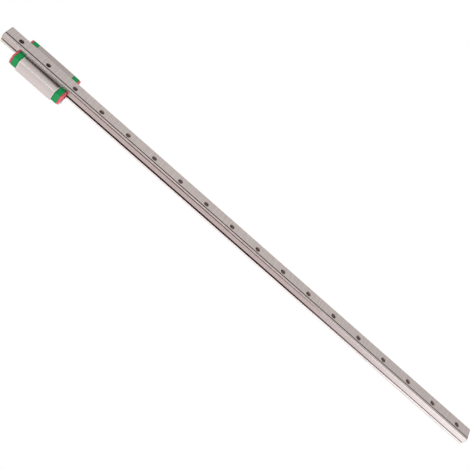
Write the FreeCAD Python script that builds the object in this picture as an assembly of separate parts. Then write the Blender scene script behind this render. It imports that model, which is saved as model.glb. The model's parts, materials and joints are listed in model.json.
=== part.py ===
import FreeCAD, Part
import math
import os

# Miniature linear guide: a ground steel rail and the ball carriage that runs along it.
# X runs along the rail, Y across it and Z up, in millimetres.
# The origin is the middle of the rail's underside, and the carriage rests near the -X end.

# Rail
rail_length = 450.0
rail_width = 12.0
rail_height = 8.0
rail_bottom_chamfer = 0.5
rail_top_chamfer = 0.25
rail_end_chamfer = 0.5
hole_pitch = 25.0
least_end_margin = 5.0
screw_hole_diameter = 3.5
counterbore_diameter = 6.0
counterbore_depth = 4.5
hole_edge_break = 0.35
counterbore_edge_break = 0.15
reference_line_offset = 3.4
reference_line_width = 0.75
reference_line_depth = 0.3

# Balls, raceways and retainer wires
ball_diameter = 2.381
ball_gap = 0.05
raceway_clearance = 0.08
tunnel_clearance = 0.16
raceway_drop = 2.3
ball_row_standoff = 0.3
tunnel_wall = 1.0
wire_diameter = 0.4
wire_ball_gap = 0.06
wire_rail_gap = 0.3
wire_hole_clearance = 0.1
wire_bend_radius = 0.6
wire_anchor_length = 1.6

# Carriage block
carriage_from_end = 38.05
block_length = 32.4
block_overhang = 7.5
block_side_gap = 0.6
block_roof_gap = 0.6
block_roof = 4.4
underside_clearance = 3.0
block_top_chamfer = 0.6
leg_chamfer = 0.2
mounting_hole_diameter = 2.5
mounting_hole_depth = 3.5
mounting_hole_from_side = 3.5
mounting_hole_from_end = 6.2
mounting_hole_mouth = 0.25

# End caps
cap_end_wall = 1.7
cap_side_inset = 0.1
cap_top_inset = 0.6
cap_corner = 1.2
cap_leg_corner = 0.3
cap_rounding = 0.3
cap_rim_bevel = 0.2
cap_rail_gap = 0.3

# End seals
seal_thickness = 1.6
seal_side_inset = 0.25
seal_top_inset = 0.8
seal_corner = 1.3
seal_leg_corner = 0.4
seal_rounding = 0.45
seal_edge_bevel = 0.35
seal_lip_gap = 0.15

# End screws and grease ports
screw_diameter = 2.0
screw_clearance = 0.1
thread_clearance = 0.03
screw_engagement = 3.5
thread_runout = 0.5
screw_from_side = 3.3
screw_drop = 3.1
screw_head_diameter = 3.0
screw_head_height = 1.1
screw_head_sink = 0.2
screw_head_clearance = 0.1
screw_head_rounding = 0.35
cross_slot_width = 0.45
cross_slot_length = 1.7
cross_slot_depth = 0.6
grease_port_diameter = 2.0
grease_port_drop = 2.5
grease_port_depth = 3.0

# Places worked out from the sizes above
raceway_z = rail_height - raceway_drop
ball_radius = ball_diameter / 2
raceway_radius = ball_radius + raceway_clearance
tunnel_radius = ball_radius + tunnel_clearance
ball_row_y = rail_width / 2 + ball_row_standoff
return_row_y = ball_row_y + 2 * tunnel_radius + tunnel_wall
turn_radius = (return_row_y - ball_row_y) / 2
turn_y = (return_row_y + ball_row_y) / 2
wire_radius = wire_diameter / 2
wire_y = ball_row_y - ball_radius - wire_ball_gap - wire_radius
relief_bottom_y = wire_y - wire_radius - wire_rail_gap
relief_width = wire_diameter + 2 * wire_rail_gap

block_half = block_length / 2
block_side = rail_width / 2 + block_overhang
block_top = rail_height + block_roof_gap + block_roof
carriage_x = carriage_from_end - rail_length / 2
cap_end = block_half + turn_radius + tunnel_radius + cap_end_wall
seal_end = cap_end + seal_thickness
wire_anchor_x = block_half + turn_radius + tunnel_radius + cap_end_wall / 2
screw_y = block_side - screw_from_side
screw_z = block_top - screw_drop
grease_port_z = block_top - grease_port_drop

along_x = FreeCAD.Vector(1, 0, 0)
along_z = FreeCAD.Vector(0, 0, 1)
downwards = FreeCAD.Vector(0, 0, -1)
origin = FreeCAD.Vector(0, 0, 0)


def prism(outline, start_x, length):
    """Solid along X whose section is a closed outline of (y, z) corners."""
    corners = [FreeCAD.Vector(start_x, y, z) for y, z in outline]
    face = Part.Face(Part.makePolygon(corners + corners[:1]))
    return face.extrude(FreeCAD.Vector(length, 0, 0))


def round_bar(diameter, start_x, length, y, z):
    """Round bar along X that starts at start_x."""
    return Part.makeCylinder(diameter / 2, length, FreeCAD.Vector(start_x, y, z), along_x)


def bevelled_hole(diameter, depth, mouth, inwards, bevel):
    """Round hole from the middle of its mouth inwards, with the edge of the mouth bevelled."""
    radius = diameter / 2
    hole = Part.makeCylinder(radius, depth, mouth, inwards)
    return hole.fuse(Part.makeCone(radius + bevel, radius, bevel, mouth, inwards))


def saddle_outline(side, bottom, top, lower_chamfer, upper_chamfer):
    """Outer section of a carriage piece, with both pairs of its outer corners cut off."""
    right = [
        (side - lower_chamfer, bottom),
        (side, bottom + lower_chamfer),
        (side, top - upper_chamfer),
        (side - upper_chamfer, top),
    ]
    left = [(-y, z) for y, z in reversed(right)]
    return right + left


def moulded_plate(outline, start_x, length, rounding, rim_bevel):
    """Moulded plate along X with rounded long edges, its outer rim bevelled."""
    plate = prism(outline, start_x, length)
    long_edges = [edge for edge in plate.Edges if edge.BoundBox.XLength > length / 2]
    plate = plate.makeFillet(rounding, long_edges)
    rim = [edge for edge in plate.Edges if edge.BoundBox.XMin > start_x + length / 2]
    return plate.makeChamfer(rim_bevel, rim)


def rail_bar(start_x, length, grow):
    """The rail's plain section with its two raceways, grown all round by a clearance."""
    side = rail_width / 2 + grow
    top = rail_height + grow
    outline = saddle_outline(side, 0.0, top, rail_bottom_chamfer, rail_top_chamfer)
    groove_diameter = 2 * (raceway_radius - grow)
    grooves = [round_bar(groove_diameter, start_x, length, y, raceway_z) for y in (ball_row_y, -ball_row_y)]
    return prism(outline, start_x, length).cut(grooves)


def rail():
    """Rail with bevelled ends, relief slots, a reference line and counterbored holes at an even pitch."""
    start_x = -rail_length / 2
    blank_corner = FreeCAD.Vector(start_x, -rail_width / 2, 0)
    blank = Part.makeBox(rail_length, rail_width, rail_height, blank_corner)
    end_edges = [edge for edge in blank.Edges if edge.BoundBox.XLength < rail_length / 2]
    blank = blank.makeChamfer(rail_end_chamfer, end_edges)
    cuts = []
    relief_reach = rail_width / 2 - relief_bottom_y
    for y in (relief_bottom_y, -rail_width / 2):
        corner = FreeCAD.Vector(start_x, y, raceway_z - relief_width / 2)
        cuts.append(Part.makeBox(rail_length, relief_reach, relief_width, corner))
    line_corner = FreeCAD.Vector(start_x, reference_line_offset - reference_line_width / 2, 0)
    cuts.append(Part.makeBox(rail_length, reference_line_width, reference_line_depth, line_corner))
    hole_count = int((rail_length - 2 * least_end_margin) // hole_pitch) + 1
    first_hole_x = -(hole_count - 1) * hole_pitch / 2
    for index in range(hole_count):
        x = first_hole_x + index * hole_pitch
        lower_mouth = FreeCAD.Vector(x, 0, 0)
        upper_mouth = FreeCAD.Vector(x, 0, rail_height)
        hole = bevelled_hole(screw_hole_diameter, rail_height, lower_mouth, along_z, hole_edge_break)
        counterbore = bevelled_hole(
            counterbore_diameter, counterbore_depth, upper_mouth, downwards, counterbore_edge_break
        )
        cuts += [hole, counterbore]
    return rail_bar(start_x, rail_length, 0.0).common(blank).cut(cuts)


def channel(start_x, length, side_gap, roof_gap):
    """Straight-sided room for the rail through a carriage piece."""
    width = rail_width + 2 * side_gap
    return Part.makeBox(length, width, rail_height + roof_gap, FreeCAD.Vector(start_x, -width / 2, 0))


def carriage_block():
    """Steel saddle with its raceways, return tunnels and threaded holes, drawn at their core diameters."""
    outline = saddle_outline(block_side, underside_clearance, block_top, leg_chamfer, block_top_chamfer)
    cuts = [channel(-block_half, block_length, block_side_gap, block_roof_gap)]
    thread_diameter = screw_diameter + 2 * thread_clearance
    thread_depth = screw_engagement + thread_runout
    mounting_x = block_half - mounting_hole_from_end
    mounting_y = block_side - mounting_hole_from_side
    for hand in (1, -1):
        cuts.append(round_bar(2 * raceway_radius, -block_half, block_length, hand * ball_row_y, raceway_z))
        cuts.append(round_bar(2 * tunnel_radius, -block_half, block_length, hand * return_row_y, raceway_z))
        for start_x in (-block_half, block_half - thread_depth):
            cuts.append(round_bar(thread_diameter, start_x, thread_depth, hand * screw_y, screw_z))
        for x in (mounting_x, -mounting_x):
            mouth = FreeCAD.Vector(x, hand * mounting_y, block_top)
            hole = bevelled_hole(
                mounting_hole_diameter, mounting_hole_depth, mouth, downwards, mounting_hole_mouth
            )
            cuts.append(hole)
    return prism(outline, -block_half, block_length).cut(cuts)


def end_cap():
    """Plastic cap for the +X end, with the two half-round turns that lead the balls back."""
    length = cap_end - block_half
    top = block_top - cap_top_inset
    side = block_side - cap_side_inset
    outline = saddle_outline(side, underside_clearance, top, cap_leg_corner, cap_corner)
    cuts = [channel(block_half, length, cap_rail_gap, cap_rail_gap)]
    port_start = cap_end - grease_port_depth
    cuts.append(round_bar(grease_port_diameter, port_start, grease_port_depth, 0, grease_port_z))
    anchor_radius = wire_radius + wire_hole_clearance
    anchor_length = 2 * (wire_y + wire_bend_radius + wire_anchor_length + wire_hole_clearance)
    anchor_start = FreeCAD.Vector(wire_anchor_x, -anchor_length / 2, raceway_z)
    cuts.append(Part.makeCylinder(anchor_radius, anchor_length, anchor_start, FreeCAD.Vector(0, 1, 0)))
    for hand in (1, -1):
        turn_centre = FreeCAD.Vector(block_half, hand * turn_y, raceway_z)
        cuts.append(Part.makeTorus(turn_radius, tunnel_radius, turn_centre, along_z))
        hole_diameter = screw_diameter + 2 * screw_clearance
        cuts.append(round_bar(hole_diameter, block_half, length, hand * screw_y, screw_z))
    return moulded_plate(outline, block_half, length, cap_rounding, cap_rim_bevel).cut(cuts)


def end_seal():
    """Seal for the +X end: a moulded plate whose lip follows the rail's section."""
    side = block_side - seal_side_inset
    top = block_top - seal_top_inset
    outline = saddle_outline(side, underside_clearance, top, seal_leg_corner, seal_corner)
    plate = moulded_plate(outline, cap_end, seal_thickness, seal_rounding, seal_edge_bevel)
    cuts = [rail_bar(cap_end, seal_thickness, seal_lip_gap)]
    cuts.append(round_bar(grease_port_diameter, cap_end, seal_thickness, 0, grease_port_z))
    hole_diameter = screw_diameter + 2 * screw_clearance
    head_room = screw_head_diameter + 2 * screw_head_clearance
    head_seat = seal_end - screw_head_sink
    for hand in (1, -1):
        cuts.append(round_bar(hole_diameter, cap_end, seal_thickness, hand * screw_y, screw_z))
        cuts.append(round_bar(head_room, head_seat, screw_head_sink, hand * screw_y, screw_z))
    return plate.cut(cuts)


def end_screw(y):
    """Cross-recess screw for the +X end, from its sunk head to its tip in the block."""
    head_start = seal_end - screw_head_sink
    head_end = head_start + screw_head_height
    tip = block_half - screw_engagement
    head = round_bar(screw_head_diameter, head_start, screw_head_height, y, screw_z)
    rim = [edge for edge in head.Edges if edge.BoundBox.XMin > head_end - screw_head_height / 2]
    head = head.makeFillet(screw_head_rounding, rim)
    slots = []
    for width, height in ((cross_slot_length, cross_slot_width), (cross_slot_width, cross_slot_length)):
        corner = FreeCAD.Vector(head_end - cross_slot_depth, y - width / 2, screw_z - height / 2)
        slots.append(Part.makeBox(cross_slot_depth, width, height, corner))
    shank = round_bar(screw_diameter, tip, head_start - tip, y, screw_z)
    return head.cut(slots).fuse(shank).removeSplitter()


def ball_loop(hand):
    """One closed loop of balls: along the raceway, round a cap, back through the tunnel, round the other."""
    turn_length = math.pi * turn_radius
    loop_length = 2 * (block_length + turn_length)
    count = int(loop_length // (ball_diameter + ball_gap))
    balls = []
    for index in range(count):
        half_loop, along = divmod(loop_length * index / count, block_length + turn_length)
        way = 1 if half_loop == 0 else -1
        if along < block_length:
            x = along - block_half
            across = -turn_radius
        else:
            angle = (along - block_length) / turn_radius
            x = block_half + turn_radius * math.sin(angle)
            across = -turn_radius * math.cos(angle)
        centre = FreeCAD.Vector(way * x, hand * (turn_y + way * across), raceway_z)
        balls.append(Part.makeSphere(ball_radius, centre))
    return Part.makeCompound(balls)


def retainer_wire(hand):
    """Wire along a raceway's relief slot, with its ends bent out into the end caps."""
    bend = wire_bend_radius
    run_end = wire_anchor_x - bend
    foot_y = wire_y + bend
    bend_middle = bend * math.sqrt(0.5)
    edges = []
    for way in (-1, 1):
        corner = FreeCAD.Vector(way * run_end, hand * wire_y, raceway_z)
        middle_x = way * (run_end + bend_middle)
        middle = FreeCAD.Vector(middle_x, hand * (foot_y - bend_middle), raceway_z)
        foot = FreeCAD.Vector(way * wire_anchor_x, hand * foot_y, raceway_z)
        tip = FreeCAD.Vector(way * wire_anchor_x, hand * (foot_y + wire_anchor_length), raceway_z)
        edges.append(Part.LineSegment(foot, tip).toShape())
        edges.append(Part.Arc(corner, middle, foot).toShape())
    start = FreeCAD.Vector(-run_end, hand * wire_y, raceway_z)
    end = FreeCAD.Vector(run_end, hand * wire_y, raceway_z)
    edges.append(Part.LineSegment(start, end).toShape())
    path = Part.Wire(Part.__sortEdges__(edges))
    tip_place = path.OrderedVertexes[0].Point
    section = Part.Wire(Part.makeCircle(wire_radius, tip_place, FreeCAD.Vector(0, 1, 0)))
    return path.makePipeShell([section], True, False)


def turned(shape):
    """The same piece at the carriage's -X end."""
    copy = shape.copy()
    copy.rotate(origin, along_z, 180)
    return copy


carriage_pieces = {
    "carriage_block": carriage_block(),
    "end_cap_front": end_cap(),
    "end_cap_back": turned(end_cap()),
    "end_seal_front": end_seal(),
    "end_seal_back": turned(end_seal()),
    "end_screw_front_left": end_screw(screw_y),
    "end_screw_front_right": end_screw(-screw_y),
    "end_screw_back_left": turned(end_screw(-screw_y)),
    "end_screw_back_right": turned(end_screw(screw_y)),
    "balls_left": ball_loop(1),
    "balls_right": ball_loop(-1),
    "retainer_wire_left": retainer_wire(1),
    "retainer_wire_right": retainer_wire(-1),
}

os.makedirs("parts", exist_ok=True)
rail().exportStep("parts/rail.step")
for node, shape in carriage_pieces.items():
    shape.translate(FreeCAD.Vector(carriage_x, 0, 0))
    shape.exportStep("parts/" + node + ".step")
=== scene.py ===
import json
import math

import bmesh
import bpy
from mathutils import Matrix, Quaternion, Vector


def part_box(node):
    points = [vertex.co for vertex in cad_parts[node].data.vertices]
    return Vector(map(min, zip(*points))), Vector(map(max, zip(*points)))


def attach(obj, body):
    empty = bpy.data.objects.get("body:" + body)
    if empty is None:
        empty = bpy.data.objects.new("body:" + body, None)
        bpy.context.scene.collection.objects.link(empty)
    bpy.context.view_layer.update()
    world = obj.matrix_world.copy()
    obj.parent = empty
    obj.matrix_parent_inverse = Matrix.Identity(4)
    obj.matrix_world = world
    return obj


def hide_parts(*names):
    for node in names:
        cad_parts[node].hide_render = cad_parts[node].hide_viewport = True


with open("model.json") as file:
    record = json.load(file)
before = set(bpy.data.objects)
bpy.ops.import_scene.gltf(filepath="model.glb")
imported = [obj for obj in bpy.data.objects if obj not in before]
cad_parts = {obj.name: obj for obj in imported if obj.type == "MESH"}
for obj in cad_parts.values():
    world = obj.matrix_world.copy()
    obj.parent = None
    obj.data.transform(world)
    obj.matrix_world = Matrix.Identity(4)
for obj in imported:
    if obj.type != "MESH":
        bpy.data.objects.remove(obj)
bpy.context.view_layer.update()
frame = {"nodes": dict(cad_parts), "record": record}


# The rail is one bar of hardened bearing steel, ground on every face and drilled for its screws.
# The wheel leaves cross marks on the underside, and the raceways and the upper half that guides the
# carriage are polished finer and also painted near white, a painted highlight. Painted shade darkens
# the slots, the reference line and the drilled holes, and a painted dark reflection lies on the lower
# chamfer. Where the carriage rests, the sides are rougher and painted lighter.
mm = 0.001


def set_inputs(tree, node, inputs):
    """Gives a node's inputs their values or links."""
    for key, value in inputs.items():
        if isinstance(value, bpy.types.NodeSocket):
            tree.links.new(value, node.inputs[key])
        else:
            node.inputs[key].default_value = value


def place_node(tree, kind, inputs=None, **settings):
    """Adds a node to a tree, sets it up, and gives its inputs values or links."""
    made = tree.nodes.new(kind)
    for name, value in settings.items():
        setattr(made, name, value)
    set_inputs(tree, made, inputs or {})
    return made


def work_out(tree, operation, *values):
    """The result of one sum on numbers or sockets."""
    return place_node(tree, "ShaderNodeMath", dict(enumerate(values)), operation=operation).outputs[0]


def overlap(tree, first, *others):
    """Masks or shares multiplied together, which leaves what all of them cover."""
    covered = first
    for mask in others:
        covered = work_out(tree, "MULTIPLY", covered, mask)
    return covered


def either(tree, first, *others):
    """The greatest of some masks, which keeps what any of them covers."""
    covered = first
    for mask in others:
        covered = work_out(tree, "MAXIMUM", covered, mask)
    return covered


def slope(tree, value, zero_at, one_at):
    """0 on one side of zero_at, 1 on the far side of one_at, and an even slope between them."""
    ends = {"Value": value, "From Min": zero_at, "From Max": one_at}
    return place_node(tree, "ShaderNodeMapRange", ends, clamp=True).outputs["Result"]


def vector_sum(tree, operation, *vectors):
    """The result of one sum on vectors."""
    made = place_node(tree, "ShaderNodeVectorMath", dict(enumerate(vectors)), operation=operation)
    return made.outputs["Vector"]


def vector_of(tree, **parts):
    """A vector put together from its X, Y and Z."""
    return place_node(tree, "ShaderNodeCombineXYZ", parts).outputs["Vector"]


def length_of(tree, vector):
    """How long a vector is."""
    return place_node(tree, "ShaderNodeVectorMath", {0: vector}, operation="LENGTH").outputs["Value"]


def mix_colours(tree, share, first, second):
    """First colour where share is 0, second where it is 1."""
    return place_node(tree, "ShaderNodeMix", {0: share, 6: first, 7: second}, data_type="RGBA").outputs[2]


def mix_values(tree, share, first, second):
    """First value where share is 0, second where it is 1."""
    return place_node(tree, "ShaderNodeMix", {0: share, 2: first, 3: second}, data_type="FLOAT").outputs[0]


def tone(colour, factor=1.0):
    """A colour, lighter or darker by a factor, as a node's socket takes it."""
    return (*(part * factor for part in colour), 1.0)


def two_tone(tree, share, colour, tones):
    """A colour that runs from one tone of itself to another."""
    darker, lighter = tones
    return mix_colours(tree, share, tone(colour, darker), tone(colour, lighter))


def shaded(tree, colour, factor):
    """A colour made lighter or darker by a factor that changes over the surface."""
    scaled = place_node(tree, "ShaderNodeVectorMath", {0: colour, "Scale": factor}, operation="SCALE")
    return scaled.outputs["Vector"]


def noise_at(tree, point, scale, detail, roughness=0.5):
    """Soft noise from 0 to 1, with so many spots to the metre."""
    look = {"Vector": point, "Scale": scale, "Detail": detail, "Roughness": roughness}
    return place_node(tree, "ShaderNodeTexNoise", look).outputs["Fac"]


def fine_relief(tree, height, strength, depth):
    """The normal of a surface that its marks or grain make slightly uneven."""
    relief = {"Strength": strength, "Distance": depth, "Height": height}
    return place_node(tree, "ShaderNodeBump", relief).outputs["Normal"]


def object_point(tree):
    """Where a point of the surface lies on the object."""
    return place_node(tree, "ShaderNodeTexCoord").outputs["Object"]


def object_axes(tree):
    """The X, Y and Z of where a point of the surface lies on the object."""
    return place_node(tree, "ShaderNodeSeparateXYZ", {"Vector": object_point(tree)}).outputs


def new_effect(name, inputs, outputs):
    """An empty group for an effect that materials share, and the sockets that give its inputs."""
    made = bpy.data.node_groups.new(name, "ShaderNodeTree")
    for socket, kind in inputs.items():
        made.interface.new_socket(socket, in_out="INPUT", socket_type="NodeSocket" + kind)
    for socket in outputs:
        made.interface.new_socket(socket, in_out="OUTPUT", socket_type="NodeSocketFloat")
    return made, place_node(made, "NodeGroupInput").outputs


def new_material(name):
    """An empty material with its node tree and its main shader."""
    made = bpy.data.materials.new(name)
    made.use_nodes = True
    return made, made.node_tree, made.node_tree.nodes["Principled BSDF"]


def finish_piece(piece, material):
    """Gives a piece its one finish."""
    piece.data.materials.clear()
    piece.data.materials.append(material)


noise_middle = 0.5

mark_counts = {"Marks Along": "Float", "Marks Across": "Float", "Patches": "Float"}
grinding, given = new_effect("grinding_marks", mark_counts, ("Lines", "Clouds"))
point = object_point(grinding)
across = given["Marks Across"]
stretch = vector_of(grinding, X=given["Marks Along"], Y=across, Z=across)
stretched = vector_sum(grinding, "MULTIPLY", point, stretch)
place_node(grinding, "NodeGroupOutput", {
    "Lines": noise_at(grinding, stretched, scale=1.0, detail=3.0, roughness=0.6),
    "Clouds": noise_at(grinding, point, scale=given["Patches"], detail=2.0),
})


def grinding_marks(tree, along, across, patches):
    """Fine lines and wide soft patches, each from 0 to 1, with so many to the metre."""
    counts = {"Marks Along": along, "Marks Across": across, "Patches": patches}
    return place_node(tree, "ShaderNodeGroup", counts, node_tree=grinding).outputs


flaw_count = 900.0
edge_effect_sizes = {"Middle": "Vector", "Half Size": "Vector", "Reach": "Float"}
edge_effect, given = new_effect("edge_rub_and_highlight", edge_effect_sizes, ("Rub",))
point = object_point(edge_effect)
from_middle = vector_sum(edge_effect, "ABSOLUTE", vector_sum(edge_effect, "SUBTRACT", point, given["Middle"]))
inwards = vector_sum(edge_effect, "SUBTRACT", given["Half Size"], from_middle)
depths = place_node(edge_effect, "ShaderNodeSeparateXYZ", {"Vector": inwards}).outputs
lesser = work_out(edge_effect, "MINIMUM", depths["X"], depths["Y"])
greater = work_out(edge_effect, "MAXIMUM", depths["X"], depths["Y"])
from_edge = work_out(edge_effect, "MAXIMUM", lesser, work_out(edge_effect, "MINIMUM", greater, depths["Z"]))
flaws = noise_at(edge_effect, point, scale=flaw_count, detail=3.0)
uneven = work_out(edge_effect, "MULTIPLY", given["Reach"], work_out(edge_effect, "SUBTRACT", flaws, noise_middle))
rubbed = slope(edge_effect, work_out(edge_effect, "ADD", from_edge, uneven), given["Reach"], 0.0)
place_node(edge_effect, "NodeGroupOutput", {"Rub": rubbed})


def edge_rub_and_highlight(tree, node, reach):
    """How near a point lies to a piece's outer edges, from 0 to 1, for edge wear and painted highlights.
    """
    low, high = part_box(node)
    sizes = {"Middle": (low + high) / 2, "Half Size": (high - low) / 2, "Reach": reach}
    return place_node(tree, "ShaderNodeGroup", sizes, node_tree=edge_effect).outputs["Rub"]


rail_ground_colour = (0.514, 0.457, 0.438)
rail_polish_highlight_colour = (0.930, 0.905, 0.890)
rail_hole_colour = (0.370, 0.297, 0.278)
shaded_hole_colour = (0.210, 0.165, 0.155)
counterbore_colour = (0.400, 0.360, 0.340)
rail_painted_shade_colour = (0.056, 0.034, 0.029)
strip_colour = (0.601, 0.500, 0.486)
rail_line_tones = (0.93, 1.07)
rail_polish_highlight_tones = (0.95, 1.05)
counterbore_tones = (0.9, 1.1)
rail_roughness = (0.33, 0.43)
land_roughness = 0.22
hole_roughness = 0.6

rail_marks = {"along": 70.0, "across": 2600.0, "patches": 45.0}
rail_cross_marks = {"along": 760.0, "across": 25.0, "patches": 45.0}
base_mark_depth = 0.72
side_mark_depth = 0.28
mark_strength = 0.25
mark_relief = 0.01 * mm

strip_begins_x = -165 * mm
strip_full_from_x = -130 * mm
strip_full_to_x = 30 * mm
strip_ends_x = 100 * mm
strip_inside = 3.95 * mm
strip_fade = 0.05 * mm

upper_half_from = 6.2 * mm
upper_half_to = 6.6 * mm
highlight_full_x = 90 * mm
start_highlight_share = 0.5
raceway_inside = 5.0 * mm
groove_edge = 5.99 * mm
groove_fade = 0.04 * mm
groove_end_highlight = 0.75
rail_rub_reach = 0.35 * mm

rest_from = -212 * mm
rest_to = -162 * mm
rest_fade = 6 * mm
rest_highlight_share = 0.32
land_from = 5.5 * mm
land_fade = 0.1 * mm

counterbore_radius = 3.0 * mm
counterbore_seat = 3.5 * mm
hole_mouth_radius = 2.1 * mm
hole_skin_reach = 0.06 * mm
hole_shade_from = -192 * mm
hole_shade_to = -205 * mm

relief_low = 5.2 * mm
relief_high = 6.60 * mm
relief_mouth = 5.45 * mm
relief_fade = 0.15 * mm
left_end_fade_x = -200 * mm
slot_shade_start_share = 0.1
shade_full_x = 45 * mm
right_end_fade_x = 165 * mm
line_y = 3.40 * mm
line_half = 0.46 * mm
line_floor = 0.60 * mm
line_end_share = 0.6
chamfer_top = 0.50 * mm
chamfer_fade = 0.05 * mm
chamfer_dark_share = 0.40
chamfer_dark_full_x = 62 * mm
chamfer_dark_end_x = 80 * mm

hole_mounts = [m for m in frame["record"]["mounts"] if m["name"].startswith("rail_hole")]
hole_places = sorted(m["pos_m"][0] for m in hole_mounts)
hole_pitch = min(b - a for a, b in zip(hole_places, hole_places[1:]))
hole_radius = hole_mounts[0]["dims"]["r_mm"] * mm
rail_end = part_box("rail")[1].x
rail_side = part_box("rail")[1].y
rail_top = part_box("rail")[1].z

rail_steel, tree, shader = new_material("rail_ground_steel")
axes = object_axes(tree)
x = axes["X"]
y = axes["Y"]
z = axes["Z"]
out_y = work_out(tree, "ABSOLUTE", y)
marks = grinding_marks(tree, **rail_marks)
lines = marks["Lines"]
clouds = marks["Clouds"]
cross_lines = grinding_marks(tree, **rail_cross_marks)["Lines"]

on_base = slope(tree, z, strip_fade, 0.0)
beyond_line = slope(tree, y, strip_inside, strip_inside + strip_fade)
strip_start = slope(tree, x, strip_begins_x, strip_full_from_x)
strip_stop = slope(tree, x, strip_ends_x, strip_full_to_x)
strip = overlap(tree, on_base, beyond_line, strip_start, strip_stop)
face_colour = mix_colours(tree, strip, tone(rail_ground_colour), tone(strip_colour))
line_tone = mix_values(tree, lines, *rail_line_tones)
mark_depth = mix_values(tree, on_base, side_mark_depth, base_mark_depth)
swing = work_out(tree, "MULTIPLY", mark_depth, work_out(tree, "SUBTRACT", cross_lines, noise_middle))
cross_tone = work_out(tree, "ADD", swing, 1.0)
ground = shaded(tree, face_colour, work_out(tree, "MULTIPLY", line_tone, cross_tone))

# Painted highlight: the upper half is polished finer and also painted near white, half as much at the left
# end, fading out towards the right end except in the raceway groove.
on_side = slope(tree, out_y, raceway_inside, raceway_inside + relief_fade)
upper_half = slope(tree, z, upper_half_from, upper_half_to)
in_groove = slope(tree, out_y, groove_edge, groove_edge - groove_fade)
least_polish_highlight = work_out(tree, "MULTIPLY", in_groove, groove_end_highlight)
from_start = slope(tree, x, -rail_end, left_end_fade_x)
start_polish_highlight = mix_values(tree, from_start, start_highlight_share, 1.0)
polish_highlight_run = slope(tree, x, right_end_fade_x, highlight_full_x)
run_polish_highlight = overlap(tree, start_polish_highlight, either(tree, polish_highlight_run, least_polish_highlight))
upper_polish_highlight = overlap(tree, upper_half, on_side, run_polish_highlight)

on_land = slope(tree, out_y, land_from, land_from + land_fade)
near_base = slope(tree, z, chamfer_top + chamfer_fade, chamfer_top)
off_base = slope(tree, z, chamfer_top, chamfer_top + chamfer_fade)
# Where the carriage rests, the rail's sides are rougher and painted a third of the way to near white, a
# painted highlight.
rest_start = slope(tree, x, rest_from, rest_from + rest_fade)
rest_stop = slope(tree, x, rest_to, rest_to - rest_fade)
rest_stretch = overlap(tree, rest_start, rest_stop, on_land, off_base)
polish_highlighted = either(tree, upper_polish_highlight, overlap(tree, rest_stretch, rest_highlight_share))

from_first = work_out(tree, "SUBTRACT", x, hole_places[0])
from_hole = work_out(tree, "WRAP", from_first, hole_pitch / 2, -hole_pitch / 2)
radius = length_of(tree, vector_of(tree, X=from_hole, Y=y))
bore_edge = hole_radius + hole_skin_reach
in_bore = slope(tree, radius, bore_edge, bore_edge - hole_skin_reach / 2)
pocket_edge = counterbore_radius + hole_skin_reach
in_pocket = slope(tree, radius, pocket_edge, pocket_edge - hole_skin_reach / 2)
above_seat = slope(tree, z, counterbore_seat - 2 * hole_skin_reach, counterbore_seat - hole_skin_reach)
below_top = slope(tree, z, rail_top - hole_skin_reach, rail_top - 2 * hole_skin_reach)
in_counterbore = overlap(tree, in_pocket, above_seat, below_top)
near_mouth = slope(tree, radius, hole_mouth_radius + hole_skin_reach, hole_mouth_radius)
off_face = slope(tree, z, 0.0, hole_skin_reach)
below_seat = slope(tree, z, counterbore_seat, counterbore_seat - hole_skin_reach)
drilled = either(tree, in_bore, overlap(tree, near_mouth, off_face, below_seat))

# Painted shade fills the relief slot and the reference line's groove, lighter towards the right end, and a
# painted dark reflection lies on the lower chamfer from the carriage's resting place to past the middle.
above_low = slope(tree, z, relief_low - relief_fade, relief_low)
below_high = slope(tree, z, relief_high + relief_fade, relief_high)
in_relief = slope(tree, out_y, relief_mouth + relief_fade, relief_mouth)
shade_run = slope(tree, x, right_end_fade_x, shade_full_x)
slot_shade_depth = mix_values(tree, from_start, slot_shade_start_share, 1.0)
slot_shade = overlap(tree, in_relief, above_low, below_high, shade_run, slot_shade_depth)
from_line = work_out(tree, "ABSOLUTE", work_out(tree, "SUBTRACT", y, line_y))
in_line = work_out(tree, "LESS_THAN", from_line, line_half)
below_floor = work_out(tree, "LESS_THAN", z, line_floor)
line_depth = mix_values(tree, shade_run, line_end_share, 1.0)
line_shade = overlap(tree, line_depth, in_line, below_floor)
chamfer_stop = slope(tree, x, chamfer_dark_end_x, chamfer_dark_full_x)
past_rest = slope(tree, x, rest_to - rest_fade, rest_to)
chamfer_painted_dark = overlap(tree, on_land, near_base, chamfer_stop, past_rest, chamfer_dark_share)
painted_dark = either(tree, chamfer_painted_dark, slot_shade, line_shade)

# Edge wear along the upper half takes the same near-white colour, so it is partly a painted highlight.
edge = overlap(tree, upper_half, edge_rub_and_highlight(tree, "rail", rail_rub_reach))
polish_highlight = two_tone(tree, clouds, rail_polish_highlight_colour, rail_polish_highlight_tones)
bare_colour = mix_colours(tree, either(tree, polish_highlighted, edge), ground, polish_highlight)
turned_colour = two_tone(tree, lines, counterbore_colour, counterbore_tones)
cut_colour = mix_colours(tree, in_counterbore, bare_colour, turned_colour)
faces_colour = mix_colours(tree, painted_dark, cut_colour, tone(rail_painted_shade_colour))
# Painted shade: the drilled walls are painted darker than the ground faces, and darker still towards the
# left end beside the carriage.
hole_shade = slope(tree, x, hole_shade_from, hole_shade_to)
hole_colour = mix_colours(tree, hole_shade, tone(rail_hole_colour), tone(shaded_hole_colour))
worn = mix_values(tree, clouds, *rail_roughness)
fine_land = work_out(tree, "SUBTRACT", on_land, rest_stretch)
faces_roughness = mix_values(tree, fine_land, worn, land_roughness)
set_inputs(tree, shader, {
    "Base Color": mix_colours(tree, drilled, faces_colour, hole_colour),
    "Metallic": 1.0,
    "Roughness": mix_values(tree, drilled, faces_roughness, hole_roughness),
    "Normal": fine_relief(tree, lines, mark_strength, mark_relief),
})
finish_piece(frame["nodes"]["rail"], rail_steel)


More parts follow.
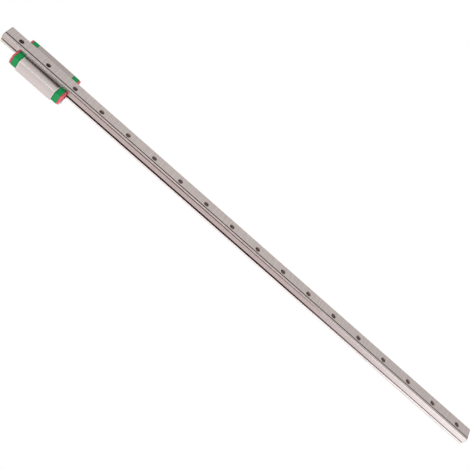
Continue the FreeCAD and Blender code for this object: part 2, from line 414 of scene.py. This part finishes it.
# The carriage block is a steel saddle, ground bright, with its raceways and return tunnels inside.
# Four threaded holes are tapped in its top for whatever it carries, and its feet reach down beside
# the rail. Painted shade darkens the feet's inner edges by the gap, the far foot and the sides just
# above the feet; the near foot is painted lighter outwards, and edge wear with a painted highlight
# lies on the outer edges.
block_colour = (0.580, 0.532, 0.514)
block_rub_and_highlight_colour = (0.760, 0.715, 0.695)
far_foot_shade_colour = (0.419, 0.369, 0.356)
block_tones = (0.95, 1.05)
block_marks = {"along": 90.0, "across": 3200.0, "patches": 120.0}
block_roughness = (0.34, 0.46)
foot_roughness = 0.54
block_rub_roughness = 0.40
block_rub_and_highlight_reach = 0.7 * mm
side_shade_band_from = 9.0 * mm
side_shade_band_to = 4.5 * mm
side_shade_band_tone = 0.89
far_foot_from = -6.0 * mm
far_foot_to = -8.0 * mm
near_foot_from = 6.5 * mm
near_foot_to = 13.3 * mm
near_foot_highlight_tone = 1.20
foot_gap_shade_from = 8.4 * mm
foot_gap_shade_to = 6.6 * mm
foot_gap_shade_tone = 0.45
foot_gap_shade_front_tone = 0.30
foot_gap_shade_back_x = -196 * mm
foot_gap_shade_front_x = -173 * mm
foot_gap_shade_spread = 0.6 * mm
leg_foot = 3.05 * mm
leg_foot_fade = 0.1 * mm

block_steel, tree, shader = new_material("block_ground_steel")
axes = object_axes(tree)
x = axes["X"]
y = axes["Y"]
z = axes["Z"]
marks = grinding_marks(tree, **block_marks)
ground_shade = two_tone(tree, marks["Lines"], block_colour, block_tones)
# Painted shade: the side faces are painted darker just above the feet.
side_tone = mix_values(tree, slope(tree, z, side_shade_band_from, side_shade_band_to), 1.0, side_shade_band_tone)
side_shade = shaded(tree, ground_shade, side_tone)
# Painted light and shade: the far foot and the near foot's inner part are painted darker, as in the rail's
# shadow, and the near foot lighter towards its outer edge.
near_foot = slope(tree, y, near_foot_from, near_foot_to)
foot_painted_light = mix_colours(tree, near_foot, tone(far_foot_shade_colour), tone(block_colour, near_foot_highlight_tone))
# Painted shade of the gap to the rail along the feet's inner edges, reaching further out and darker
# towards the front of the near foot.
to_front = slope(tree, x, foot_gap_shade_back_x, foot_gap_shade_front_x)
near_front = overlap(tree, to_front, work_out(tree, "GREATER_THAN", y, 0.0))
gap_shade_spread = work_out(tree, "MULTIPLY", near_front, foot_gap_shade_spread)
from_gap_shade = work_out(tree, "SUBTRACT", work_out(tree, "ABSOLUTE", y), gap_shade_spread)
inner_edge = slope(tree, from_gap_shade, foot_gap_shade_from, foot_gap_shade_to)
gap_shade_tone = mix_values(tree, near_front, foot_gap_shade_tone, foot_gap_shade_front_tone)
foot_shade = shaded(tree, foot_painted_light, mix_values(tree, inner_edge, 1.0, gap_shade_tone))
on_foot = slope(tree, z, leg_foot + leg_foot_fade, leg_foot)
bare_shade = mix_colours(tree, on_foot, side_shade, foot_shade)
on_far_foot = overlap(tree, on_foot, slope(tree, y, far_foot_from, far_foot_to))
off_far_foot = work_out(tree, "SUBTRACT", 1.0, on_far_foot)
# Edge wear together with a painted highlight lightens the block's outer edges, apart from the far foot.
edge = overlap(tree, off_far_foot, edge_rub_and_highlight(tree, "carriage_block", block_rub_and_highlight_reach))
side_roughness = mix_values(tree, marks["Clouds"], *block_roughness)
bare_roughness = mix_values(tree, on_foot, side_roughness, foot_roughness)
set_inputs(tree, shader, {
    "Base Color": mix_colours(tree, edge, bare_shade, tone(block_rub_and_highlight_colour)),
    "Metallic": 1.0,
    "Roughness": mix_values(tree, edge, bare_roughness, block_rub_roughness),
    "Normal": fine_relief(tree, marks["Lines"], mark_strength, mark_relief),
})


def new_object(name, data):
    """A new object of the scene, at the origin."""
    made = bpy.data.objects.new(name, data)
    bpy.context.scene.collection.objects.link(made)
    return made


def plain_piece(host):
    """Turns what an object's modifiers make into its own plain mesh."""
    seen = host.evaluated_get(bpy.context.evaluated_depsgraph_get())
    host.data = bpy.data.meshes.new_from_object(seen)
    host.modifiers.clear()
    return host


sharp_from = math.radians(30)


def smooth_piece(piece):
    """Shades a piece smooth, apart from its sharp edges."""
    piece.data.shade_smooth()
    piece.data.set_sharp_from_angle(angle=sharp_from)


hole_mount = next(m for m in frame["record"]["mounts"] if m["name"] == "carriage_screws")
hole_spacing = hole_mount["dims"]["spacing_x_mm"] * mm
thread_core = hole_mount["dims"]["hole_r_mm"] * mm
block_middle = hole_mount["pos_m"][0]
block_top = hole_mount["pos_m"][2]
thread_radius = 1.5 * mm
tap_depth = 3.4 * mm
mouth_bevel = 0.25 * mm
cut_above = 0.2 * mm
cut_sides = 48
merge_reach = 0.0005 * mm

cut_outline = [
    (thread_radius, block_top - tap_depth),
    (thread_radius, block_top - mouth_bevel),
    (thread_radius + mouth_bevel + cut_above, block_top + cut_above),
]
cut = bmesh.new()
for across in (-hole_spacing / 2, hole_spacing / 2):
    for along in (-hole_spacing / 2, hole_spacing / 2):
        rings = []
        for ring_radius, height in cut_outline:
            ring = []
            for step in range(cut_sides):
                angle = math.tau * step / cut_sides
                ring_x = block_middle + along + ring_radius * math.cos(angle)
                ring_y = across + ring_radius * math.sin(angle)
                ring.append(cut.verts.new((ring_x, ring_y, height)))
            rings.append(ring)
        cut.faces.new(reversed(rings[0]))
        cut.faces.new(rings[-1])
        for low, high in zip(rings, rings[1:]):
            for step in range(cut_sides):
                following = (step + 1) % cut_sides
                cut.faces.new((low[step], low[following], high[following], high[step]))
cut_mesh = bpy.data.meshes.new("hole_cut")
cut.to_mesh(cut_mesh)
cut.free()
hole_cut = new_object("hole_cut", cut_mesh)

blank = bmesh.new()
blank.from_mesh(frame["nodes"]["carriage_block"].data)
bmesh.ops.remove_doubles(blank, verts=blank.verts, dist=merge_reach)
blank_mesh = bpy.data.meshes.new("tapped_block")
blank.to_mesh(blank_mesh)
blank.free()
tapped_block = new_object("tapped_block", blank_mesh)
drill = tapped_block.modifiers.new("drill", "BOOLEAN")
drill.operation = "DIFFERENCE"
drill.solver = "EXACT"
drill.object = hole_cut
plain_piece(tapped_block)
bpy.data.objects.remove(hole_cut)
tapped_block.data.attributes.remove(tapped_block.data.attributes["custom_normal"])
finish_piece(tapped_block, block_steel)
smooth_piece(tapped_block)
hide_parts("carriage_block")
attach(tapped_block, "carriage")


def shape_tree(name, sizes):
    """An empty geometry tree with named sizes, and the sockets that give them."""
    made = bpy.data.node_groups.new(name, "GeometryNodeTree")
    made.interface.new_socket("Geometry", in_out="INPUT", socket_type="NodeSocketGeometry")
    for size in sizes:
        made.interface.new_socket(size, in_out="INPUT", socket_type="NodeSocketFloat")
    made.interface.new_socket("Geometry", in_out="OUTPUT", socket_type="NodeSocketGeometry")
    return made, place_node(made, "NodeGroupInput").outputs


def end_tree(tree, shape, material):
    """Ends a geometry tree in one plain mesh with its material."""
    real = place_node(tree, "GeometryNodeRealizeInstances", {"Geometry": shape}).outputs["Geometry"]
    finished = place_node(tree, "GeometryNodeSetMaterial", {"Geometry": real, "Material": material})
    place_node(tree, "NodeGroupOutput", {"Geometry": finished.outputs["Geometry"]})


def moved(tree, shape, place=(0.0, 0.0, 0.0), turn=(0.0, 0.0, 0.0)):
    """A shape turned and then moved."""
    way = {"Geometry": shape, "Translation": place, "Rotation": turn}
    return place_node(tree, "GeometryNodeTransform", way).outputs["Geometry"]


def swept(tree, path, profile):
    """The closed mesh that a profile makes along a path, with the path's up side kept up."""
    upright = place_node(tree, "GeometryNodeSetCurveNormal", {"Curve": path}, mode="Z_UP").outputs["Curve"]
    sweep = {"Curve": upright, "Profile Curve": profile, "Fill Caps": True}
    return place_node(tree, "GeometryNodeCurveToMesh", sweep).outputs["Mesh"]


def grown_piece(name, start, tree, sizes):
    """The piece that a geometry tree makes from a starting mesh and named sizes."""
    host = new_object(name, start)
    grower = host.modifiers.new(name, "NODES")
    grower.node_group = tree
    for item in tree.interface.items_tree:
        if item.in_out == "INPUT" and item.name in sizes:
            grower[item.identifier] = sizes[item.name]
    return plain_piece(host)


thread_depth = 3.25 * mm
thread_steps = 28
ridge_corners = 3
ridge_share = 0.7
thread_sizes = {
    "Ridge Middle": (thread_core + 2 * thread_radius) / 3,
    "Ridge": (thread_radius - thread_core) * ridge_share,
    "Pitch": 0.5 * mm,
    "Turns": 5.8,
    "Spacing": hole_spacing,
    "Block Middle": block_middle,
    "Thread Foot": block_top - thread_depth,
}
thread_tree, given = shape_tree("thread_ridges", thread_sizes)
helix = place_node(thread_tree, "GeometryNodeCurveSpiral", {
    "Resolution": thread_steps,
    "Rotations": given["Turns"],
    "Height": work_out(thread_tree, "MULTIPLY", given["Pitch"], given["Turns"]),
    "Start Radius": given["Ridge Middle"],
    "End Radius": given["Ridge Middle"],
})
crest_sizes = {"Resolution": ridge_corners, "Radius": given["Ridge"]}
crest = place_node(thread_tree, "GeometryNodeCurvePrimitiveCircle", crest_sizes, mode="RADIUS")
crest_inwards = moved(thread_tree, crest.outputs["Curve"], turn=(0.0, 0.0, math.pi))
corners = place_node(thread_tree, "GeometryNodeMeshGrid", {
    "Size X": given["Spacing"],
    "Size Y": given["Spacing"],
    "Vertices X": 2,
    "Vertices Y": 2,
})
ridges = place_node(thread_tree, "GeometryNodeInstanceOnPoints", {
    "Points": corners.outputs["Mesh"],
    "Instance": swept(thread_tree, helix.outputs["Curve"], crest_inwards),
})
stand = vector_of(thread_tree, X=given["Block Middle"], Z=given["Thread Foot"])
in_place = moved(thread_tree, ridges.outputs["Instances"], place=stand)
end_tree(thread_tree, in_place, block_steel)
threads = grown_piece("thread_ridges", bpy.data.meshes.new("thread_ridges"), thread_tree, thread_sizes)
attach(threads, "carriage")


# Two closed loops of chrome steel balls run through the block and its caps. Each loop is kept in by
# a drawn steel wire that lies in the rail's relief slot, with its ends bent out into the caps.
ball_colour = (0.780, 0.775, 0.770)
ball_tones = (0.94, 1.04)
ball_roughness = (0.05, 0.12)
ball_marks = {"along": 900.0, "across": 900.0, "patches": 400.0}
wire_colour = (0.560, 0.545, 0.530)
wire_tones = (0.9, 1.08)
wire_roughness = (0.25, 0.35)
wire_marks = {"along": 120.0, "across": 9000.0, "patches": 300.0}

ball_steel, tree, shader = new_material("ball_chrome_steel")
marks = grinding_marks(tree, **ball_marks)
set_inputs(tree, shader, {
    "Base Color": two_tone(tree, marks["Clouds"], ball_colour, ball_tones),
    "Metallic": 1.0,
    "Roughness": mix_values(tree, marks["Lines"], *ball_roughness),
})
wire_steel, tree, shader = new_material("wire_drawn_steel")
marks = grinding_marks(tree, **wire_marks)
set_inputs(tree, shader, {
    "Base Color": two_tone(tree, marks["Lines"], wire_colour, wire_tones),
    "Metallic": 1.0,
    "Roughness": mix_values(tree, marks["Clouds"], *wire_roughness),
})
for side in ("left", "right"):
    finish_piece(frame["nodes"]["balls_" + side], ball_steel)
    finish_piece(frame["nodes"]["retainer_wire_" + side], wire_steel)


# The end caps are moulded in green plastic and turn the balls round from raceway to return tunnel.
# They are screwed against the block's ends. Their edges are rubbed paler by handling, their side walls
# are painted paler as a painted highlight, and the joint with the block is darkened by dust and oil
# together with painted shade.
grain_counts = {"Grains": "Float", "Patches": "Float"}
moulding, given = new_effect("moulded_grain", grain_counts, ("Grain", "Clouds"))
point = object_point(moulding)
place_node(moulding, "NodeGroupOutput", {
    "Grain": noise_at(moulding, point, scale=given["Grains"], detail=2.0, roughness=0.7),
    "Clouds": noise_at(moulding, point, scale=given["Patches"], detail=1.0),
})


def moulded_grain(tree, grains, patches):
    """The fine grain of a mould's wall and wide soft patches, from 0 to 1, with so many to the metre."""
    counts = {"Grains": grains, "Patches": patches}
    return place_node(tree, "ShaderNodeGroup", counts, node_tree=moulding).outputs


joint_sizes = {"Middle": "Float", "Joint": "Float", "Reach": "Float"}
joint_effect, given = new_effect("joint_grime_and_shade", joint_sizes, ("Grime",))
from_middle = work_out(joint_effect, "SUBTRACT", object_axes(joint_effect)["X"], given["Middle"])
from_joint = work_out(joint_effect, "SUBTRACT", work_out(joint_effect, "ABSOLUTE", from_middle), given["Joint"])
near_joint = slope(joint_effect, work_out(joint_effect, "ABSOLUTE", from_joint), given["Reach"], 0.0)
place_node(joint_effect, "NodeGroupOutput", {"Grime": near_joint})


def joint_grime_and_shade(tree, joint, reach):
    """Dust, oil and painted shade at the joint that distance from the block's middle, from 0 to 1."""
    sizes = {"Middle": block_middle, "Joint": joint, "Reach": reach}
    return place_node(tree, "ShaderNodeGroup", sizes, node_tree=joint_effect).outputs["Grime"]


cap_colour = (0.002, 0.290, 0.073)
cap_rub_and_highlight_colour = (0.030, 0.380, 0.130)
cap_tones = (0.9, 1.1)
cap_roughness = (0.38, 0.52)
cap_specular = 0.15
cap_grain = {"grains": 5200.0, "patches": 160.0}
grain_strength = 0.3
grain_relief = 0.012 * mm
cap_rub_reach = 0.3 * mm
cap_wall_from = 13.20 * mm
cap_wall_to = 13.35 * mm
cap_wall_highlight = 0.45
cap_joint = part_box("carriage_block")[1].x - block_middle
cap_joint_reach = 1.3 * mm
cap_joint_dark_tone = 0.55

for end in ("front", "back"):
    cap_plastic, tree, shader = new_material("cap_green_plastic_" + end)
    grain = moulded_grain(tree, **cap_grain)
    out_y = work_out(tree, "ABSOLUTE", object_axes(tree)["Y"])
    # Painted highlight: the side walls are painted paler, in the colour of the rubbed edges.
    highlit_wall = overlap(tree, slope(tree, out_y, cap_wall_from, cap_wall_to), cap_wall_highlight)
    edge = either(tree, highlit_wall, edge_rub_and_highlight(tree, "end_cap_" + end, cap_rub_reach))
    moulded = two_tone(tree, grain["Clouds"], cap_colour, cap_tones)
    clean = mix_colours(tree, edge, moulded, tone(cap_rub_and_highlight_colour))
    # Dust and oil together with painted shade darken the cap towards its joint with the block.
    joint_darkened = mix_values(tree, joint_grime_and_shade(tree, cap_joint, cap_joint_reach), 1.0, cap_joint_dark_tone)
    set_inputs(tree, shader, {
        "Base Color": shaded(tree, clean, joint_darkened),
        "Roughness": mix_values(tree, grain["Grain"], *cap_roughness),
        "Specular IOR Level": cap_specular,
        "Normal": fine_relief(tree, grain["Grain"], grain_strength, grain_relief),
    })
    finish_piece(frame["nodes"]["end_cap_" + end], cap_plastic)


# The end seals are moulded in red rubber on a stiff plate and screwed over the caps. A dark bead on
# each one's outer face is the lip that wipes the rail. The sides are painted lighter as a painted
# highlight, far more on the front seal than on the back one, and the joint with the cap is darkened
# by dust and oil together with painted shade.
seal_colour = (0.790, 0.118, 0.148)
seal_rub_colour = (0.830, 0.190, 0.210)
seal_side_highlight_colour = (0.980, 0.175, 0.231)
seal_tones = (0.88, 1.1)
seal_roughness = (0.5, 0.66)
seal_specular = 0.25
seal_grain = {"grains": 7000.0, "patches": 220.0}
seal_rub_reach = 0.3 * mm
seal_side_from = 10.5 * mm
seal_side_to = 13.1 * mm
seal_side_highlight = {"front": 0.9, "back": 0.1}
seal_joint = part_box("end_seal_front")[0].x - block_middle
seal_joint_reach = 1.1 * mm
seal_joint_dark_tone = 0.45

for end in ("front", "back"):
    seal_rubber, tree, shader = new_material("seal_red_rubber_" + end)
    grain = moulded_grain(tree, **seal_grain)
    out_y = work_out(tree, "ABSOLUTE", object_axes(tree)["Y"])
    # Painted highlight: the sides are painted lighter, strongly on the front seal and faintly on the back
    # one.
    side_highlight = overlap(tree, slope(tree, out_y, seal_side_from, seal_side_to), seal_side_highlight[end])
    edge = edge_rub_and_highlight(tree, "end_seal_" + end, seal_rub_reach)
    moulded = two_tone(tree, grain["Clouds"], seal_colour, seal_tones)
    rubbed = mix_colours(tree, edge, moulded, tone(seal_rub_colour))
    clean = mix_colours(tree, side_highlight, rubbed, tone(seal_side_highlight_colour))
    # Dust and oil together with painted shade darken the seal towards its joint with the cap.
    joint_darkened = mix_values(tree, joint_grime_and_shade(tree, seal_joint, seal_joint_reach), 1.0, seal_joint_dark_tone)
    set_inputs(tree, shader, {
        "Base Color": shaded(tree, clean, joint_darkened),
        "Roughness": mix_values(tree, grain["Grain"], *seal_roughness),
        "Specular IOR Level": seal_specular,
        "Normal": fine_relief(tree, grain["Grain"], grain_strength, grain_relief),
    })
    finish_piece(frame["nodes"]["end_seal_" + end], seal_rubber)

lip_colour = (0.260, 0.036, 0.042)
lip_tones = (0.85, 1.15)
lip_roughness = (0.42, 0.6)
lip_grain = {"grains": 7000.0, "patches": 300.0}
lip_radius = 0.42 * mm
lip_gap = 0.05 * mm
lip_sink = 0.03 * mm
lip_lift = 0.3 * mm
lip_corner = 0.35 * mm
lip_steps = 11
raceway_y = 6.3 * mm
raceway_z = 5.7 * mm
raceway_radius = 1.27 * mm
raceway_steps = 12

lip_rubber, tree, shader = new_material("lip_dark_rubber")
grain = moulded_grain(tree, **lip_grain)
set_inputs(tree, shader, {
    "Base Color": two_tone(tree, grain["Clouds"], lip_colour, lip_tones),
    "Roughness": mix_values(tree, grain["Grain"], *lip_roughness),
    "Specular IOR Level": seal_specular,
    "Normal": fine_relief(tree, grain["Grain"], grain_strength, grain_relief),
})

lip_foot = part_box("end_seal_front")[0].z + lip_lift
lip_side = rail_side + lip_gap + lip_radius
lip_top = rail_top + lip_gap + lip_radius
bend_radius = raceway_radius - lip_gap - lip_radius
bend_from = math.acos((lip_side - raceway_y) / bend_radius)
bend_sweep = math.tau - 2 * bend_from
near_half = [(lip_side, lip_foot)]
for step in range(raceway_steps + 1):
    angle = -bend_from - bend_sweep * step / raceway_steps
    bend_y = raceway_y + bend_radius * math.cos(angle)
    near_half.append((bend_y, raceway_z + bend_radius * math.sin(angle)))
near_half += [(lip_side, lip_top - lip_corner), (lip_side - lip_corner, lip_top)]
route = near_half + [(-across, height) for across, height in reversed(near_half)]
route_points = [(across, height, 0.0) for across, height in route]
route_runs = [(step, step + 1) for step in range(len(route) - 1)]
route_mesh = bpy.data.meshes.new("seal_lips")
route_mesh.from_pydata(route_points, route_runs, [])

seal_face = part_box("end_seal_front")[1].x - block_middle
lip_sizes = {
    "Lip Radius": lip_radius,
    "Seal Face": seal_face - lip_sink,
    "Block Middle": block_middle,
}
lip_tree, given = shape_tree("seal_lips", lip_sizes)
run = place_node(lip_tree, "GeometryNodeMeshToCurve", {"Mesh": given["Geometry"]}).outputs["Curve"]
half_round = place_node(lip_tree, "GeometryNodeCurveArc", {
    "Resolution": lip_steps,
    "Radius": given["Lip Radius"],
    "Start Angle": math.pi,
    "Sweep Angle": math.pi,
    "Connect Center": True,
}, mode="RADIUS")
bead = swept(lip_tree, run, half_round.outputs["Curve"])
face = vector_of(lip_tree, X=given["Seal Face"])
front_lip = moved(lip_tree, bead, place=face, turn=(math.pi / 2, 0.0, math.pi / 2))
back_lip = moved(lip_tree, front_lip, turn=(0.0, 0.0, math.pi))
both = place_node(lip_tree, "GeometryNodeJoinGeometry")
for lip in (back_lip, front_lip):
    lip_tree.links.new(lip, both.inputs["Geometry"])
middle = vector_of(lip_tree, X=given["Block Middle"])
end_tree(lip_tree, moved(lip_tree, both.outputs["Geometry"], place=middle), lip_rubber)
lips = grown_piece("seal_lips", route_mesh, lip_tree, lip_sizes)
smooth_piece(lips)
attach(lips, "carriage")


# Four small cross-recess screws of plated steel, two at each end, pass through seal and cap and hold
# them to the block.
screw_colour = (0.600, 0.575, 0.560)
screw_tones = (0.85, 1.15)
screw_roughness = (0.28, 0.42)
screw_marks = {"along": 2500.0, "across": 2500.0, "patches": 700.0}

screw_steel, tree, shader = new_material("screw_plated_steel")
marks = grinding_marks(tree, **screw_marks)
set_inputs(tree, shader, {
    "Base Color": two_tone(tree, marks["Clouds"], screw_colour, screw_tones),
    "Metallic": 1.0,
    "Roughness": mix_values(tree, marks["Lines"], *screw_roughness),
})
for end in ("front", "back"):
    for side in ("left", "right"):
        finish_piece(frame["nodes"]["end_screw_%s_%s" % (end, side)], screw_steel)


# The floor is a plain pale sheet of paper under the rail. Seen from below it is clear, because the
# picture is taken from under the floor, and it neither shades nor colours the piece.
floor_half = 6.0
floor_drop = 0.05 * mm
floor_colour = (0.900, 0.896, 0.890)
floor_tones = (0.99, 1.01)
floor_roughness = 0.9
floor_specular = 0.1
fibre_count = 30.0
floor_fade_from = 0.6
floor_fade_to = 2.5

floor_mesh = bpy.data.meshes.new("floor")
floor_corners = [(along * floor_half, across * floor_half, -floor_drop)
                 for along, across in ((-1, -1), (1, -1), (1, 1), (-1, 1))]
floor_mesh.from_pydata(floor_corners, [], [(0, 1, 2, 3)])
floor = new_object("floor", floor_mesh)
for ray in ("diffuse", "glossy", "transmission", "shadow"):
    setattr(floor, "visible_" + ray, False)
floor_paper, tree, shader = new_material("floor_paper")
point = object_point(tree)
fibres = noise_at(tree, point, scale=fibre_count, detail=3.0)
set_inputs(tree, shader, {
    "Base Color": two_tone(tree, fibres, floor_colour, floor_tones),
    "Roughness": floor_roughness,
    "Specular IOR Level": floor_specular,
})
clear = place_node(tree, "ShaderNodeBsdfTransparent")
from_below = place_node(tree, "ShaderNodeNewGeometry").outputs["Backfacing"]
far_off = slope(tree, length_of(tree, point), floor_fade_from, floor_fade_to)
unseen = either(tree, from_below, far_off)
seen = place_node(tree, "ShaderNodeMixShader", {0: unseen, 1: shader.outputs[0], 2: clear.outputs[0]})
tree.links.new(seen.outputs[0], tree.nodes["Material Output"].inputs["Surface"])
finish_piece(floor, floor_paper)


# The light is a white tent with a wide soft lamp above, one on each side and one below. Polished
# steel mirrors the tent's walls: most are even and pale, and those on the near side have bright
# strips and one dark gap.
lamp_aim = Vector((0.0, 0.0, 0.0))
lamps = {
    "lamp_above": {"place": (-0.2, -0.1, 1.5), "size": 1.6, "power": 5.0},
    "lamp_near_side": {"place": (0.0, 1.5, 0.4), "size": 1.2, "power": 5.0},
    "lamp_far_side": {"place": (-0.3, -1.5, 0.8), "size": 1.2, "power": 4.0},
    "lamp_below": {"place": (0.1, -0.3, -1.5), "size": 1.6, "power": 4.0},
}


def soft_lamp(name, place, size, power):
    """Square lamp, turned towards the middle of the rail."""
    lamp = bpy.data.lights.new(name, "AREA")
    lamp.shape = "SQUARE"
    lamp.size = size
    lamp.energy = power
    made = new_object(name, lamp)
    made.location = place
    made.rotation_mode = "QUATERNION"
    made.rotation_quaternion = (lamp_aim - Vector(place)).to_track_quat("-Z", "Y")


for name, lamp in lamps.items():
    soft_lamp(name, **lamp)

tent_white = (1.0, 1.0, 1.0)
tent_warm = (1.0, 0.87, 0.885)
tent_cool = (0.98, 1.0, 1.03)
tent_strength = 0.75
mirrored_strength = 0.72

# Each wall has a tint, a strength and the directions between which it fades in.
near_side = ("Y", 0.35, 0.55)
low_down = ("Z", -0.40, -0.55)
strip_far_edge = ("X", 0.62, 0.50)
tent_walls = {
    "ground": (tent_white, 0.77, [("Z", 0.15, -0.15)]),
    "nadir": (tent_white, 1.20, [("Z", -0.76, -0.90)]),
    "card": (tent_warm, 0.89, [near_side, ("Z", 0.45, 0.58)]),
    "left": (tent_white, 1.06, [near_side, ("X", -0.17, -0.21)]),
    "low_left": (tent_white, 1.90, [near_side, low_down, ("X", -0.18, -0.20)]),
    "gap": (tent_warm, 0.02, [near_side, low_down, ("X", -0.18, -0.155), ("X", 0.20, 0.16)]),
    "strip": (tent_cool, 1.80, [near_side, ("X", 0.24, 0.34), strip_far_edge]),
    "strip_end": (tent_cool, 1.97, [near_side, ("X", 0.32, 0.385), strip_far_edge]),
    "low_strip": (tent_cool, 2.15, [near_side, low_down, ("X", 0.19, 0.27), strip_far_edge]),
}
world = bpy.data.worlds.new("white_tent")
world.use_nodes = True
bpy.context.scene.world = world
tree = world.node_tree
direction = place_node(tree, "ShaderNodeTexCoord").outputs["Generated"]
axes = place_node(tree, "ShaderNodeSeparateXYZ", {"Vector": direction}).outputs
tent = tone(tent_white, mirrored_strength)
for tint, strength, fades in tent_walls.values():
    wall = overlap(tree, *[slope(tree, axes[axis], zero_at, one_at) for axis, zero_at, one_at in fades])
    tent = mix_colours(tree, wall, tent, tone(tint, strength))
rays = place_node(tree, "ShaderNodeLightPath").outputs
mirrored = either(tree, rays["Is Glossy Ray"], rays["Is Transmission Ray"])
lit = mix_colours(tree, mirrored, tone(tent_white, tent_strength), tent)
seen = mix_colours(tree, rays["Is Camera Ray"], lit, tone(tent_white))
tree.links.new(seen, tree.nodes["Background"].inputs["Color"])


# The camera looks up at the underside from the side with the reference line, turned so that the rail
# runs from the upper left corner of the picture to the lower right one.
camera_place = Vector((-67.52, 510.33, -471.54)) * mm
camera_aim = Vector((-7.34, 4.67, 0.0)) * mm
camera_roll = math.radians(-134.05)
camera_lens = 73.21
camera_sensor = 36.0
nearest_seen = 0.01
farthest_seen = 50.0

camera = bpy.data.cameras.new("camera")
camera.lens = camera_lens
camera.sensor_width = camera_sensor
camera.clip_start = nearest_seen
camera.clip_end = farthest_seen
camera_object = new_object("camera", camera)
camera_object.location = camera_place
camera_object.rotation_mode = "QUATERNION"
upright = (camera_aim - camera_place).to_track_quat("-Z", "Y")
camera_object.rotation_quaternion = upright @ Quaternion((0.0, 0.0, 1.0), camera_roll)
bpy.context.scene.camera = camera_object
bpy.context.scene.view_settings.view_transform = "Standard"
